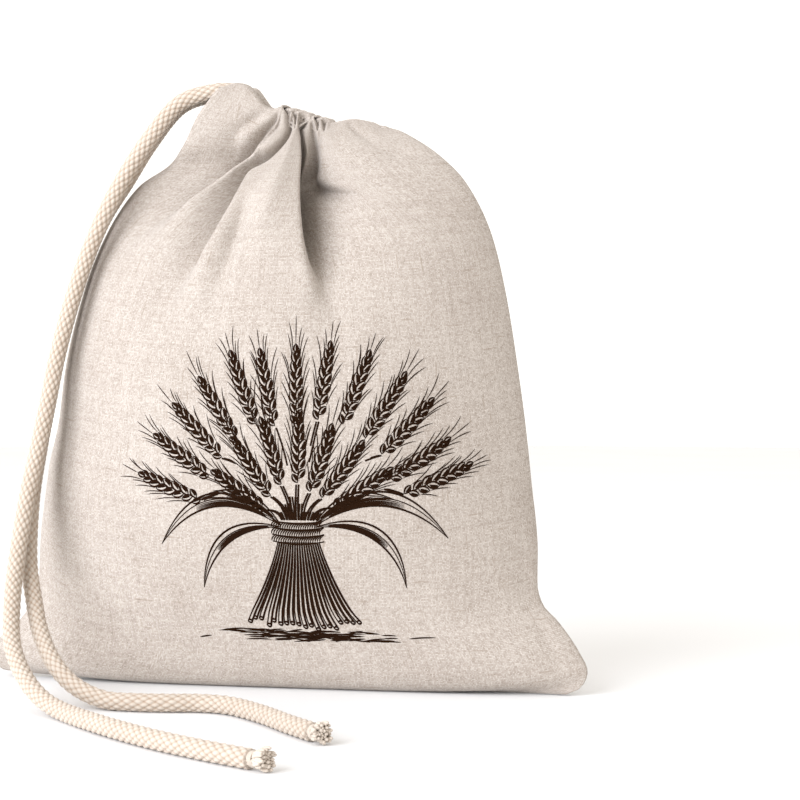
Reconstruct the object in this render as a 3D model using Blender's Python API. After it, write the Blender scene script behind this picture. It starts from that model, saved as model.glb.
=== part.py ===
"""Linen bread bag with a drawcord, standing filled on a table.

Two cloth panels are sewn together down both sides and along the bottom. Their top edges form the
casing of a drawcord, which is pulled tight, so the cloth fans out below the neck in pleats. Both
ends of the cord leave through the slit at the left end of the casing, fall past the side seam
and come forward over the table, where each ends in a bound tuft.

The bag's front faces -Y, up is +Z, and the origin is under the middle of the bag on the table.
Tables and sizes are in millimetres; meshes are in metres.
"""

import bpy
import numpy as np

MM = 0.001

CLOTH = 1.6  # thickness of the linen, hems included
SEAM_GAP = 0.3  # space left between the two panels along their seams
PANEL_LENGTH = 320.0  # cloth from the bottom seam to the top edge
SLIT_START = 268.0  # height on the cloth where the left side seam ends and the slit begins
EDGE_FADE = 0.1  # share of the half width, next to a side seam, over which pleats die out

CORD_DIAMETER = 8.0
CORD_SPACING = 14.0  # distance between the points of a cord's centre line
CORD_SIDES = 2  # bevel resolution: 2 makes eight sides

# The neck gathers the middle of each panel. Share of the half width -> X at the neck.
GATHER_START, GATHER_START_X = -0.62, -9.0
GATHER_END, GATHER_END_X = 0.74, 20.0
GATHER_LOW, GATHER_HIGH = 215.0, 300.0  # heights on the cloth where gathering begins and is full
PUCKER_PITCH, PUCKER_RISE, PUCKER_DEPTH = 4.9, 1.5, 1.2  # the small bumps of the gathered edge
PUCKER_FROM, PUCKER_TO, PUCKER_PHASE = -10.0, 18.0, -6.5

# Side seams, from the bottom up.
# height on the cloth | left x, y, z | half width of the slit | right x, y, z
SEAMS = np.array([
    (0, -137, -25, 3.6, 0, 137, -28, 0.8),
    (4, -143, -24.5, 7, 0, 143.3, -27.5, 3.8),
    (12, -143.5, -24, 14, 0, 146, -27, 10.5),
    (24, -132, -22, 25, 0, 141.5, -25, 20),
    (36, -124.5, -18, 37, 0, 131.5, -21.5, 33),
    (44, -123, -15, 45, 0, 124.3, -17, 39.5),
    (52, -123, -12, 53, 0, 121.2, -13.5, 48),
    (70, -124.2, -6, 70, 0, 120.3, -7, 66),
    (100, -122.3, 0, 99, 0, 116.4, -1, 96),
    (125, -117.3, 3, 124, 0, 113.3, 2, 121),
    (150, -114.8, 5, 148, 0, 109.6, 4, 146),
    (190, -107.6, 9, 187, 0, 102.8, 7, 185),
    (220, -97.6, 11, 214, 0, 95.6, 9, 213),
    (250, -80.5, 12, 239, 0, 82, 11, 239),
    (SLIT_START, -65, 12, 249, 0, 70, 12, 251),
    (280, -56.5, 12, 257, 5.5, 61, 12, 257.5),
    (300, -46, 12, 274, 9.0, 49, 12, 264),
    (PANEL_LENGTH, -36, 12, 285.5, 9.0, 42, 12, 266),
])

# Middle line of each panel, and how its cross sections bulge between the side seams.
# height on the cloth | y, z | squareness | roundness
FRONT = np.array([
    (0, -24.2, 0, 4, 1.0),
    (8, -32, 0, 4, 0.9),
    (14, -37.5, 2.5, 4, 0.8),
    (20, -41, 7.5, 4, 0.8),
    (32, -44.5, 19, 3.4, 0.8),
    (60, -48, 47, 2.8, 0.8),
    (100, -50, 87, 2.5, 0.8),
    (150, -47, 137, 2.3, 0.8),
    (190, -41, 177, 2.2, 0.8),
    (225, -31, 211, 2.1, 0.8),
    (255, -16, 237, 2.0, 0.8),
    (280, -2, 256, 2.0, 0.8),
    (300, 3.5, 265.5, 2.0, 0.8),
    (PANEL_LENGTH, 5.5, 271.5, 2.0, 0.8),
])
BACK = np.array([
    (0, -23.8, 0, 4, 1.0),
    (38, 12, 0, 3, 0.8),
    (52, 25, 3.5, 2.8, 0.8),
    (64, 33, 12, 2.6, 0.8),
    (90, 42, 35, 2.5, 0.8),
    (130, 49, 73, 2.4, 0.8),
    (180, 50, 123, 2.3, 0.8),
    (225, 46, 167, 2.2, 0.8),
    (260, 38, 203, 2.1, 0.8),
    (285, 28, 235, 2.0, 0.8),
    (300, 22.5, 257, 2.0, 0.8),
    (308, 21.5, 265, 2.0, 0.8),
    (PANEL_LENGTH, 21, 271.5, 2.0, 0.8),
])

# How far the top edge stands over its ring: the upright corner of the casing at the left,
# the gathered dip, and the hump at the right.
# x | rise
TOP_EDGE = np.array([
    (-36, 0), (-26, 6), (-13, -2), (-6, -1), (3, -1.5), (14, -2), (22, 0.5), (30, 2.8), (38, 2), (42, 0),
])

# Pleats that fan out from the neck. Each is a valley, or a ridge where its depth is negative.
# top x, z | middle x, z | foot x, z | depth at top, middle | half width at top, foot | skew
FRONT_PLEATS = (
    (-8.5, 268, -26, 250.5, -60, 218, 6, 7.5, 3, 13, 1.0),
    (-11, 257, -31, 223, -50, 192, 1, 8, 4, 15, 0.7),
    (-18, 224, -26, 195, -41, 155, 0, 2.5, 9, 16, 1.0),
    (-5.5, 268.5, -9, 259, -16, 248, 3, 2.5, 1.7, 2.5, 1.0),
    (-1, 269, -4, 257, -15, 246, 4, 5, 1.7, 5, 1.0),
    (4.3, 268, 8.7, 236, 24, 176, 4, 11, 2.2, 13, 1.6),
    (9.8, 266, 15.5, 243, 34, 226, 4, 7, 1.9, 7, 1.8),
    (12.8, 264, 14.5, 259, 17.5, 250, 2.5, 2.5, 1.5, 2.5, 1.0),
    (26, 267.5, 32, 262.5, 42, 254, 1.2, 1.6, 2, 3, 1.0),
    (3, 268, 0.5, 248, -16, 208, -1.5, -3.5, 3, 15, 1.0),
    (-8, 262, -25, 240, -44, 220, -0.5, -2, 3, 9, 1.0),
    (20, 266, 32, 240, 44, 190, -0.5, -3, 6, 24, 1.0),
)
BACK_PLEATS = (
    (-7, 268, -22, 240, -58, 205, 4, 6, 3, 13, 1.0),
    (-2, 268, -6, 235, -20, 180, 3, 7, 2.5, 12, 0.8),
    (4, 268, 9, 230, 8, 165, 3, 8, 2.5, 12, 1.2),
    (9, 267, 22, 240, 44, 200, 4, 6, 2.5, 11, 1.2),
    (16, 266, 38, 245, 70, 218, 2, 4, 3, 11, 1.0),
)

# Route of the cord's centre line, from inside the casing to the bound end: x, y, z
LEFT_STRAND = (
    (-29, 7.8, 284.2), (-41, 7.6, 284.4), (-57.6, 4, 278.7), (-71.3, -1, 261.5), (-83.5, -3.6, 242.5),
    (-92.3, -6.5, 224.7), (-100.6, -8.5, 204.7), (-107.2, -12, 182.7), (-112.4, -17, 158.3),
    (-115.5, -23, 134.1), (-118.2, -30, 110.2), (-119.4, -41, 86.8), (-117.9, -57, 60.5),
    (-113.2, -74.5, 42), (-105.4, -94, 27), (-94.5, -110.5, 16.3), (-81, -125.5, 8.3),
    (-64.8, -140.5, 4.2), (-35.1, -171.8, 4.2), (-4.7, -198.7, 4.2), (21.7, -217.7, 4.2),
    (46, -233, 4.2),
)
RIGHT_STRAND = (
    (-29, 16.2, 284.2), (-43.2, 16, 284.2), (-60.2, 13.4, 278.2), (-74.2, 10.2, 260.8), (-86, 6.8, 241),
    (-96.9, 4.8, 223.5), (-104.9, 2, 203.7), (-111.5, -1.6, 181.4), (-116.3, -7, 157.3),
    (-119.1, -13, 134), (-121.3, -20, 110), (-121.4, -29.5, 86.6), (-116.5, -45.5, 59.6),
    (-107.8, -61.5, 42.3), (-97.1, -80, 28.5), (-84.5, -96, 17.5), (-71.5, -105, 9.2),
    (-56, -111, 4.6), (-41, -113, 4.2), (-27, -112, 4.2), (-12, -109.5, 4.2), (3, -114, 4.2),
    (21.5, -132, 4.2), (40, -155, 4.2), (54, -171, 4.2),
)

# Bound end of a cord: distance past the cord | radius. The binding draws the yarn in, and the
# cut yarns flare beyond it.
CORD_END = (
    (0.7, 3.3), (1.4, 3.0), (3.0, 2.9), (3.8, 3.5), (5.0, 4.6), (7.0, 5.1), (9.0, 5.0), (10.2, 4.2), (10.6, 2.6),
)
CORD_END_SIDES = 16
CORD_END_RISE = 0.11  # upward slope of the end, so that the tuft rests on the table too

# Mesh density: share of the half width, or height on the cloth, at even steps of a grid
FRONT_COLUMNS, FRONT_ROWS = 54, ((0, 0), (0.16, 40), (0.42, 190), (1, PANEL_LENGTH))
BACK_COLUMNS, BACK_ROWS = 36, ((0, 0), (0.28, 70), (0.52, 190), (1, PANEL_LENGTH))
FRONT_ROW_COUNT, BACK_ROW_COUNT = 44, 32

MATERIALS = {
    "linen": {"color": (0.72, 0.64, 0.54, 1.0), "roughness": 0.9},
    "cotton_cord": {"color": (0.84, 0.77, 0.65, 1.0), "roughness": 0.85},
}


def clear_scene():
    for old in list(bpy.data.objects):
        bpy.data.objects.remove(old, do_unlink=True)


def material(name):
    made = bpy.data.materials.get(name)
    if made is None:
        made = bpy.data.materials.new(name)
        made.use_nodes = True
        shader = made.node_tree.nodes["Principled BSDF"]
        shader.inputs["Base Color"].default_value = MATERIALS[name]["color"]
        shader.inputs["Roughness"].default_value = MATERIALS[name]["roughness"]
        made.diffuse_color = MATERIALS[name]["color"]
    return made


def ramp(value, start, end):
    """0 before start, 1 after end, and a smooth S between them."""
    t = np.clip((value - start) / (end - start), 0, 1)
    return t * t * (3 - 2 * t)


def read(table, column, at):
    """A column of a table against its first one, by a cubic that never overshoots its rows."""
    x, y = table[:, 0], table[:, column]
    step, slope = np.diff(x), np.diff(y) / np.diff(x)
    before, after = slope[:-1], slope[1:]
    weight_before, weight_after = 2 * step[1:] + step[:-1], step[1:] + 2 * step[:-1]
    same_sign = before * after > 0
    safe_before, safe_after = np.where(same_sign, before, 1), np.where(same_sign, after, 1)
    mean = (weight_before + weight_after) / (weight_before / safe_before + weight_after / safe_after)
    tangent = np.concatenate([slope[:1], np.where(same_sign, mean, 0), slope[-1:]])
    i = np.clip(np.searchsorted(x, at, side="right") - 1, 0, len(step) - 1)
    t = np.clip((at - x[i]) / step[i], 0, 1)
    return (
        (1 + 2 * t) * (1 - t) ** 2 * y[i]
        + t * (1 - t) ** 2 * step[i] * tangent[i]
        + t * t * (3 - 2 * t) * y[i + 1]
        + t * t * (t - 1) * step[i] * tangent[i + 1]
    )


def cross_section(height, side):
    """One row of a panel as a function of t, from -1 at the left seam to 1 at the right one.

    x runs evenly between the seams. y and z leave the straight line between the seams by the
    bulge (1 - |t|^squareness)^roundness, which is full at the panel's middle line. Near the
    table the bulge brings every point level with the middle, so that the base is flat.
    """
    left = np.array([read(SEAMS, column, height) for column in (1, 2, 3)])
    slit = read(SEAMS, 4, height)
    right = np.array([read(SEAMS, column, height) for column in (5, 6, 7)])
    left[1] += side * (CLOTH + SEAM_GAP / 2 + slit)
    right[1] += side * (CLOTH + SEAM_GAP / 2)
    middle = FRONT if side < 0 else BACK
    middle_y, middle_z, squareness, roundness = (read(middle, column, height) for column in (1, 2, 3, 4))
    edge_rise = ramp(height, 285, PANEL_LENGTH)
    level_base = 1 - ramp(height, 20, 80)

    def point(t):
        share = (t + 1) / 2
        bulge = np.clip(1 - np.abs(t) ** squareness, 0, 1) ** roundness
        x = left[0] + (right[0] - left[0]) * share
        y = left[1] + (right[1] - left[1]) * share + (middle_y - (left[1] + right[1]) / 2) * bulge
        tilt = (right[2] - left[2]) * (share - 0.5)
        z = (left[2] + right[2]) / 2 * (1 - bulge) + middle_z * bulge + tilt * (1 - level_base * bulge)
        z = z + edge_rise * read(TOP_EDGE, 1, np.clip(x, TOP_EDGE[0, 0], TOP_EDGE[-1, 0]))
        return np.stack([x, y, z], axis=-1)

    return point, left[0], right[0]


def draped_panel(columns, heights, side):
    """Points of a panel's outer face without its pleats, spaced as the threads of the cloth are.

    Below the shoulders the columns are spaced evenly along the row. Towards the neck they move
    to the places that the drawcord gathers them to.
    """
    rows = []
    for height in heights:
        point, left, right = cross_section(height, side)
        fine = np.sin(np.linspace(-1, 1, 401) * np.pi / 2)
        steps = np.linalg.norm(np.diff(point(fine), axis=0), axis=1)
        along = np.concatenate([[0], np.cumsum(steps)])
        even = np.interp(columns, 2 * along / along[-1] - 1, fine)
        places = (left, GATHER_START_X, GATHER_END_X, right)
        gathered_x = np.interp(columns, (-1, GATHER_START, GATHER_END, 1), places)
        gathered = 2 * (gathered_x - left) / (right - left) - 1
        pull = ramp(height, GATHER_LOW, GATHER_HIGH)
        rows.append(point((1 - pull) * even + pull * gathered))
    return np.array(rows)


def outward(points, side):
    across, up = np.gradient(points, axis=1), np.gradient(points, axis=0)
    normal = np.cross(across, up) * -side
    return normal / np.linalg.norm(normal, axis=-1, keepdims=True)


def pleat_depth(x, z, pleats):
    """Sum of the pleats: each is exp(-(distance / half width)^2) across a centre line in x, z."""
    total = np.zeros_like(x)
    for top_x, top_z, mid_x, mid_z, foot_x, foot_z, top, middle, top_width, foot_width, skew in pleats:
        line = np.array([
            (foot_z - 40, foot_x, 0, foot_width),
            (foot_z, foot_x, 0, foot_width),
            (mid_z, mid_x, middle, (top_width + foot_width) / 2),
            (top_z, top_x, top, top_width),
            (top_z + 40, top_x, top, top_width),
        ])
        level = np.clip(z, line[0, 0], line[-1, 0])
        offset = x - read(line, 1, level)
        width = read(line, 3, level) * np.where(offset < 0, skew**-0.5, skew**0.5)
        total += read(line, 2, level) * np.exp(-((offset / width) ** 2))
    return total


def panel_faces(columns, heights, side):
    """Outer and inner face of a panel, as two grids of points."""
    base = draped_panel(columns, heights, side)
    normal = outward(base, side)
    x, height = base[..., 0], np.broadcast_to(heights[:, None], base.shape[:2])
    depth = pleat_depth(x, base[..., 2], FRONT_PLEATS if side < 0 else BACK_PLEATS)
    depth *= ramp(1 - np.abs(columns), 0, EDGE_FADE) * (1 - 0.6 * ramp(height, 306, PANEL_LENGTH))
    outer = base - normal * depth[..., None]
    gathered = ramp(x, PUCKER_FROM, PUCKER_FROM + 4) * (1 - ramp(x, PUCKER_TO - 4, PUCKER_TO))
    wave = np.cos(2 * np.pi * (x - PUCKER_PHASE) / PUCKER_PITCH) * gathered * ramp(height, 294, 312)
    outer[..., 1] += side * PUCKER_DEPTH * wave
    outer[..., 2] += PUCKER_RISE * wave
    inner = outer - normal * CLOTH
    # At the bottom the two panels share one seam line, and both stand on the table.
    share = (columns + 1) / 2
    seam_y = SEAMS[0, 2] + (SEAMS[0, 6] - SEAMS[0, 2]) * share
    low = height < SEAMS[4, 0]
    for face in (outer, inner):
        beyond = side * (face[..., 1] - seam_y) < SEAM_GAP / 2
        face[..., 1] = np.where(low & beyond, seam_y + side * SEAM_GAP / 2, face[..., 1])
        face[..., 2] = np.maximum(face[..., 2], 0)
    return outer, inner


def grid_quads(rows, columns, start, flip):
    corner = start + np.arange(rows - 1)[:, None] * columns + np.arange(columns - 1)
    quads = np.stack([corner, corner + 1, corner + columns + 1, corner + columns], axis=-1).reshape(-1, 4)
    return quads[:, ::-1] if flip else quads


def smooth_mesh(name, points, faces, slot):
    """One object of this name in metres, with every face shaded smooth."""
    mesh = bpy.data.meshes.new(name)
    mesh.from_pydata((np.asarray(points) * MM).tolist(), [], [list(map(int, face)) for face in faces])
    mesh.materials.append(material(slot))
    mesh.polygons.foreach_set("use_smooth", [True] * len(mesh.polygons))
    mesh.update()
    made = bpy.data.objects.new(name, mesh)
    bpy.context.scene.collection.objects.link(made)
    return made


def sheet(name, outer, inner, side, slot):
    """A closed sheet between two grids of points, joined by a band round their rim."""
    rows, columns = outer.shape[:2]
    count = rows * columns
    index = np.arange(count).reshape(rows, columns)
    rim = np.concatenate([index[0, :-1], index[:-1, -1], index[-1, :0:-1], index[:0:-1, 0]])
    following = np.roll(rim, -1)
    band = np.stack([rim, rim + count, following + count, following], axis=-1)
    flip = side > 0
    faces = np.concatenate([
        grid_quads(rows, columns, 0, flip),
        grid_quads(rows, columns, count, not flip),
        band[:, ::-1] if flip else band,
    ])
    points = np.concatenate([outer.reshape(-1, 3), inner.reshape(-1, 3)])
    return smooth_mesh(name, points, faces, slot)


def panel(name, side, column_count, row_count, density):
    columns = np.linspace(-1, 1, column_count)
    heights = np.interp(np.linspace(0, 1, row_count), *zip(*density))
    outer, inner = panel_faces(columns, heights, side)
    return sheet(name, outer, inner, side, "linen")


def smooth_route(route, spacing):
    """Evenly spaced points along a Catmull-Rom curve through the route."""
    route = np.array(route, float)
    ends = np.concatenate([[2 * route[0] - route[1]], route, [2 * route[-1] - route[-2]]])
    t = np.linspace(0, 1, 40, endpoint=False)[:, None]
    pieces = []
    for a, b, c, d in zip(ends, ends[1:], ends[2:], ends[3:]):
        pieces.append(
            0.5 * (2 * b + (c - a) * t + (2 * a - 5 * b + 4 * c - d) * t**2 + (3 * b - a - 3 * c + d) * t**3)
        )
    fine = np.concatenate([*pieces, route[-1:]])
    along = np.concatenate([[0], np.cumsum(np.linalg.norm(np.diff(fine, axis=0), axis=1))])
    even = np.linspace(0, along[-1], int(round(along[-1] / spacing)) + 1)
    return np.stack([np.interp(even, along, fine[:, axis]) for axis in range(3)], axis=-1)


def strand(name, route):
    """A round cord with filled ends along the route."""
    points = smooth_route(route, CORD_SPACING)
    curve = bpy.data.curves.new(name, "CURVE")
    curve.dimensions = "3D"
    curve.bevel_depth = CORD_DIAMETER / 2 * MM
    curve.bevel_resolution = CORD_SIDES
    curve.use_fill_caps = True
    spline = curve.splines.new("POLY")
    spline.points.add(len(points) - 1)
    for target, point in zip(spline.points, points * MM):
        target.co = (*point, 1)
    spline.use_smooth = True
    curve.materials.append(material("cotton_cord"))
    made = bpy.data.objects.new(name, curve)
    bpy.context.scene.collection.objects.link(made)
    return points


def bound_end(name, points):
    """Binding and tuft on the end of a cord: the CORD_END profile turned round its direction."""
    forward = points[-1] - points[-2]
    forward = forward / np.linalg.norm(forward) + (0, 0, CORD_END_RISE)
    forward /= np.linalg.norm(forward)
    sideways = np.cross(forward, (0, 0, 1))
    sideways /= np.linalg.norm(sideways)
    upwards = np.cross(sideways, forward)
    angle = np.linspace(0, 2 * np.pi, CORD_END_SIDES, endpoint=False)[:, None]
    circle = np.cos(angle) * sideways + np.sin(angle) * upwards
    rings = [points[-1] + forward * distance + circle * radius for distance, radius in CORD_END]
    index = np.arange(len(rings) * CORD_END_SIDES).reshape(len(rings), CORD_END_SIDES)
    faces = [list(index[0]), list(index[-1, ::-1])]
    for lower, upper in zip(index, index[1:]):
        faces += np.stack([lower, upper, np.roll(upper, -1), np.roll(lower, -1)], axis=-1).tolist()
    return smooth_mesh(name, np.concatenate(rings), faces, "cotton_cord")


clear_scene()
panel("front_panel", -1, FRONT_COLUMNS, FRONT_ROW_COUNT, FRONT_ROWS)
panel("back_panel", 1, BACK_COLUMNS, BACK_ROW_COUNT, BACK_ROWS)
bound_end("left_cord_end", strand("left_cord", LEFT_STRAND))
bound_end("right_cord_end", strand("right_cord", RIGHT_STRAND))
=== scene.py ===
"""Linen bread bag with a braided cotton drawcord, standing filled on a pale table.

The bag's front faces -Y, up is +Z, and the origin is under the middle of the bag. Sizes are in
millimetres unless a name or comment says otherwise; every mesh is scaled to metres when it is made.
"""

from functools import partial

import bpy
import numpy as np
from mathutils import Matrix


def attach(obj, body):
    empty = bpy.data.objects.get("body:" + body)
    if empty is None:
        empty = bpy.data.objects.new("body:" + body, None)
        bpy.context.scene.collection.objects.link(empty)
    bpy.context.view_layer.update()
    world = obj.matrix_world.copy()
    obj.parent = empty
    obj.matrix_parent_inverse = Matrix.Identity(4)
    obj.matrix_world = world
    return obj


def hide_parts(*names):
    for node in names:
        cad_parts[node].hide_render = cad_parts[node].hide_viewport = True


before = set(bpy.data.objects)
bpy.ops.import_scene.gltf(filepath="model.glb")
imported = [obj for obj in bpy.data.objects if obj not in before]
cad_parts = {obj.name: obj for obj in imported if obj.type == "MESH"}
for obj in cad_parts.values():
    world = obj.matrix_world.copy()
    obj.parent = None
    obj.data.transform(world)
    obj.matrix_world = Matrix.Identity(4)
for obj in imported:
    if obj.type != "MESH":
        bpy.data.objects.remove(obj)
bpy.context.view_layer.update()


# --- View --------------------------------------------------------------------------------------
# The bag is seen from half its height, a little from the right, through a short telephoto lens.
MM = 0.001
VIEW_TURN, VIEW_PITCH = np.radians(12), np.radians(0.933)
VIEW_DISTANCE, VIEW_SIDESTEP, VIEW_HEIGHT = 1000, 59.8, 151
VIEW_AIM = np.array([0, -37, 0])
VIEW_LENS = 96.75  # on the camera's 36 mm sensor


def new_object(name, data):
    made = bpy.data.objects.new(name, data)
    bpy.context.scene.collection.objects.link(made)
    return made


look = np.array([-np.sin(VIEW_TURN), np.cos(VIEW_TURN), 0])
aside = np.array([np.cos(VIEW_TURN), np.sin(VIEW_TURN), 0])
camera = new_object("camera", bpy.data.cameras.new("camera"))
camera.data.lens = VIEW_LENS
camera.location = (VIEW_AIM - look * VIEW_DISTANCE + aside * VIEW_SIDESTEP + (0, 0, VIEW_HEIGHT)) * MM
camera.rotation_euler = (np.pi / 2 - VIEW_PITCH, 0, VIEW_TURN)
bpy.context.scene.camera = camera


# --- Drawcord ----------------------------------------------------------------------------------
# An 8 mm braided cotton cord of sixteen strands, eight turning each way, one over and one under.
# Both of its ends leave the casing through the slit at the left, fall past the side seam and come
# forward over the table. Routes are in metres, from inside the casing to the bound end.
LEFT_STRAND = (
    (-0.029, 0.0078, 0.2842), (-0.041, 0.0076, 0.2844), (-0.0576, 0.004, 0.2787),
    (-0.0713, -0.001, 0.2615), (-0.0835, -0.0036, 0.2425), (-0.0923, -0.0065, 0.2247),
    (-0.1006, -0.0085, 0.2047), (-0.1072, -0.012, 0.1827), (-0.1124, -0.017, 0.1583),
    (-0.1155, -0.023, 0.1341), (-0.1182, -0.03, 0.1102), (-0.1194, -0.041, 0.0868),
    (-0.1179, -0.057, 0.0605), (-0.1132, -0.0745, 0.042), (-0.1054, -0.094, 0.027),
    (-0.0945, -0.1105, 0.0163), (-0.081, -0.1255, 0.0083), (-0.0648, -0.1405, 0.0042),
    (-0.0351, -0.1718, 0.0042), (-0.0047, -0.1987, 0.0042), (0.0217, -0.2177, 0.0042),
    (0.046, -0.233, 0.0042),
)
RIGHT_STRAND = (
    (-0.029, 0.0162, 0.2842), (-0.0432, 0.016, 0.2842), (-0.0602, 0.0134, 0.2782),
    (-0.0742, 0.0102, 0.2608), (-0.086, 0.0068, 0.241), (-0.0969, 0.0048, 0.2235),
    (-0.1049, 0.002, 0.2037), (-0.1115, -0.0016, 0.1814), (-0.1163, -0.007, 0.1573),
    (-0.1191, -0.013, 0.134), (-0.1213, -0.02, 0.11), (-0.1214, -0.0295, 0.0866),
    (-0.1165, -0.0455, 0.0596), (-0.1078, -0.0615, 0.0423), (-0.0971, -0.08, 0.0285),
    (-0.0845, -0.096, 0.0175), (-0.0715, -0.105, 0.0092), (-0.056, -0.111, 0.0046),
    (-0.041, -0.113, 0.0042), (-0.027, -0.112, 0.0042), (-0.012, -0.1095, 0.0042),
    (0.003, -0.114, 0.0042), (0.0215, -0.132, 0.0042), (0.04, -0.155, 0.0042), (0.054, -0.171, 0.0042),
)
PLAITS = 8  # strands that turn each way
PLAIT_PITCH = 4.8  # distance along the cord between plaits of one column
CORE_RADIUS, PLAIT_RELIEF = 3.15, 0.95
PLAIT_ARCH = 1.9  # how narrow a plait's arch is; at 2 it just spans its strand
CORD_SIDES, CORD_STEP = 64, 0.45
CORD_OVER_TABLE = 0.05
# COTTON_SHADE is reached in the braid's painted groove shade; the strands' own tints go only part way
COTTON, COTTON_SHADE = (0.53, 0.465, 0.395), (0.32, 0.225, 0.155)
STRAND_YARNS, YARN_SLANT = 5.0, 1.1  # yarns across a strand, and how far they slant along it
EDGE_SHADE, DIVE_SHADE = 2.6, 1.6  # painted shade: darker towards a strand's edges and where it goes under
OTHER_WAY = 57.0  # added to the numbers of strands that turn the other way, for other tints


def node(tree, kind, values=(), output=0, **settings):
    """An output of a new shader node, whose inputs are set or linked to the values in order."""
    made = tree.nodes.new("ShaderNode" + kind)
    for name, setting in settings.items():
        setattr(made, name, setting)
    for socket, value in zip(made.inputs, values):
        if isinstance(value, bpy.types.NodeSocket):
            tree.links.new(value, socket)
        elif value is not None:
            socket.default_value = value
    return made.outputs[output]


def calc(tree, operation, *values):
    """The result of one sum on values that may change over the surface."""
    return node(tree, "Math", values, operation=operation)


def ridges(tree, phase):
    """|sin(pi * phase)|, which is 0 at each whole number and 1 halfway between two."""
    return calc(tree, "ABSOLUTE", calc(tree, "SINE", calc(tree, "MULTIPLY", phase, np.pi)))


def first_two(tree, vector):
    """The first and second numbers of a vector."""
    made = tree.nodes.new("ShaderNodeSeparateXYZ")
    tree.links.new(vector, made.inputs[0])
    return made.outputs[0], made.outputs[1]


def mixed(tree, share, start, end):
    """A colour output that goes from start to end as the share goes from 0 to 1."""
    values = (share, None, None, None, None, None, start, end)
    return node(tree, "Mix", values, output=2, data_type="RGBA")


def new_group(name, outputs):
    """A node group with one vector input, and the output node that its results are linked to."""
    group = bpy.data.node_groups.new(name, "ShaderNodeTree")
    group.interface.new_socket("Vector", in_out="INPUT", socket_type="NodeSocketVector")
    for output in outputs:
        group.interface.new_socket(output, in_out="OUTPUT", socket_type="NodeSocketFloat")
    start = group.nodes.new("NodeGroupInput").outputs["Vector"]
    return group, start, group.nodes.new("NodeGroupOutput")


def new_material(name):
    """A material, its node tree and the shader in it."""
    made = bpy.data.materials.new(name)
    made.use_nodes = True
    return made, made.node_tree, made.node_tree.nodes["Principled BSDF"]


def set_fibre(tree, shader, colour, height, relief):
    """Makes a shader matt and downy, in a colour and with a height map this many metres high."""
    tree.links.new(colour, shader.inputs["Base Color"])
    bump = node(tree, "Bump", (0.5, relief, None, height))
    tree.links.new(bump, shader.inputs["Normal"])
    shader.inputs["Roughness"].default_value = 0.88
    shader.inputs["Specular IOR Level"].default_value = 0.2
    shader.inputs["Sheen Weight"].default_value = 0.14


def use_group(tree, group, vector):
    """The outputs of a node group placed in a material."""
    made = tree.nodes.new("ShaderNodeGroup")
    made.node_tree = group
    tree.links.new(vector, made.inputs["Vector"])
    return made.outputs


def braid_group():
    """Shade and height of the yarns in a braid, from U round the cord and V metres along it.

    The strands turning one way lie at whole numbers of a = plaits * u + v, and the others at
    whole numbers of b = plaits * u - v. Whether the sum of the two strands' numbers is even
    Fine yarns run along the strand on top as stripes across it, with painted shade between them.
    """
    group, vector, end = new_group("braided cotton", ("Shade", "Height"))
    times, plus, minus = (partial(calc, group, name) for name in ("MULTIPLY", "ADD", "SUBTRACT"))
    round_it, along_it = first_two(group, vector)
    u, v = times(round_it, PLAITS), calc(group, "DIVIDE", along_it, PLAIT_PITCH * MM)
    a, b = plus(u, v), minus(u, v)
    strand_a, strand_b = calc(group, "ROUND", a), calc(group, "ROUND", b)
    turn = calc(group, "FLOORED_MODULO", plus(strand_a, strand_b), 2.0)
    b_on_top = calc(group, "GREATER_THAN", turn, 0.5)
    offset_a, offset_b = minus(a, strand_a), minus(b, strand_b)

    def on_top(for_a, for_b):
        return node(group, "Mix", (b_on_top, None, for_a, for_b), data_type="FLOAT")

    across, along = on_top(offset_a, offset_b), on_top(offset_b, offset_a)
    number = on_top(strand_a, plus(strand_b, OTHER_WAY))
    tint = node(group, "TexWhiteNoise", (None, number), noise_dimensions="1D")
    yarn = ridges(group, calc(group, "MULTIPLY_ADD", across, STRAND_YARNS, times(along, YARN_SLANT)))
    # painted shade towards each strand's edges and where it dives under the others
    edge, dive = times(times(across, across), EDGE_SHADE), times(times(along, along), DIVE_SHADE)
    shade = minus(minus(calc(group, "MULTIPLY_ADD", tint, 0.14, 0.86), edge), dive)
    # the yarn stripes add painted shade between the yarns
    group.links.new(calc(group, "MULTIPLY_ADD", yarn, 0.12, shade), end.inputs["Shade"])
    group.links.new(yarn, end.inputs["Height"])
    return group


def cotton_material():
    """Cream cotton: between its two colours by the strands' tints and painted groove shade, with a soft
    nap.
    """
    made, tree, shader = new_material("braided cotton")
    coords = node(tree, "TexCoord", output="UV")
    braid = use_group(tree, braid_group(), coords)
    colour = mixed(tree, braid["Shade"], (*COTTON_SHADE, 1), (*COTTON, 1))
    set_fibre(tree, shader, colour, braid["Height"], 0.0002)
    return made


def curve_through(rows, steps):
    """Catmull-Rom curve through the rows, this many points for each span between two rows."""
    rows = np.asarray(rows, float)
    ends = np.concatenate([[2 * rows[0] - rows[1]], rows, [2 * rows[-1] - rows[-2]]])
    a, b, c, d = (ends[k : len(ends) - 3 + k, None] for k in range(4))
    t = np.linspace(0, 1, steps, endpoint=False)[:, None]
    spans = 2 * b + (c - a) * t + (2 * a - 5 * b + 4 * c - d) * t**2 + (3 * b - a - 3 * c + d) * t**3
    return np.concatenate([0.5 * spans.reshape(-1, rows.shape[1]), rows[-1:]])


def evenly_spaced(line, spacing):
    """The same line with points this far apart."""
    along = np.concatenate([[0], np.cumsum(np.linalg.norm(np.diff(line, axis=0), axis=1))])
    even = np.linspace(0, along[-1], int(round(along[-1] / spacing)) + 1)
    return even, np.stack([np.interp(even, along, line[:, axis]) for axis in range(3)], axis=-1)


def unit(vectors):
    """The same directions, one long."""
    return vectors / np.linalg.norm(vectors, axis=-1, keepdims=True)


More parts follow.
